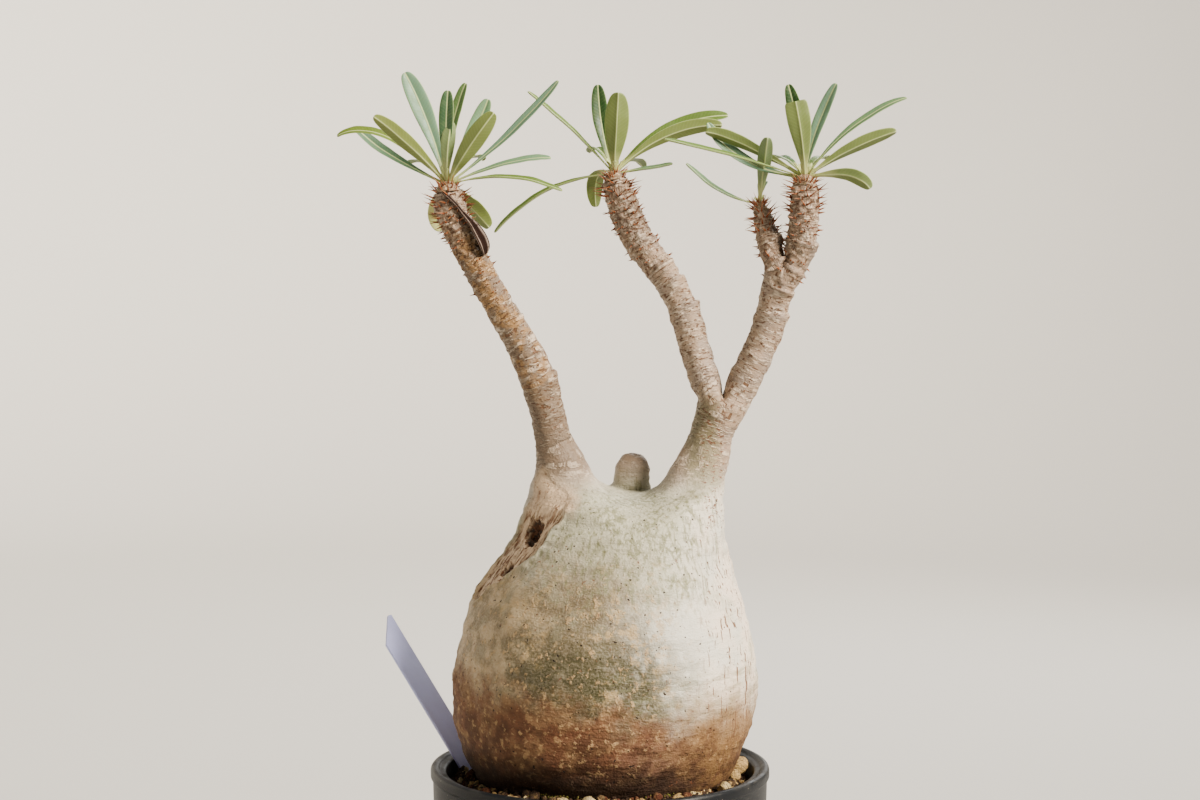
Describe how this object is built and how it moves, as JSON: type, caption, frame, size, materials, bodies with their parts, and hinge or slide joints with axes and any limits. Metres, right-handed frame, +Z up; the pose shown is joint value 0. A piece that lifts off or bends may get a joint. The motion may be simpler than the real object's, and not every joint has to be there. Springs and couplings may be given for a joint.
{
  "type": "potted pachypodium",
  "caption": "Potted caudiciform succulent: swollen grey caudex with spiny forked branches and leaf rosettes, in a gritty mix in a round black plastic pot with a blank label.",
  "frame": {"origin": "centre of the underside of the pot, on the surface that the pot stands on", "axes": "+Z up along the plant; +X to the right and +Y away from the viewer of the pictured side"},
  "size_m": [0.2483, 0.15, 0.4355],
  "materials": {
    "pot_plastic": "moulded black polypropylene, lightly scuffed and dusty",
    "pumice_mix": "rough pumice and baked clay grains",
    "bark": "matte grey succulent bark, finely wrinkled, stained brown near the soil",
    "leaf": "waxy green blades with a pale midrib",
    "dried_leaf": "dry brown curled leaf",
    "label_plastic": "thin pale lavender plastic, blank"
  },
  "bodies": {
    "root": {"pot": "pot_plastic", "substrate": "pumice_mix", "caudex_and_branches": "bark", "rosette_left": "leaf", "rosette_centre": "leaf", "rosette_right": "leaf", "rosette_small": "leaf", "dried_leaf": "dried_leaf", "plant_label": "label_plastic"}
  },
  "joints": []
}
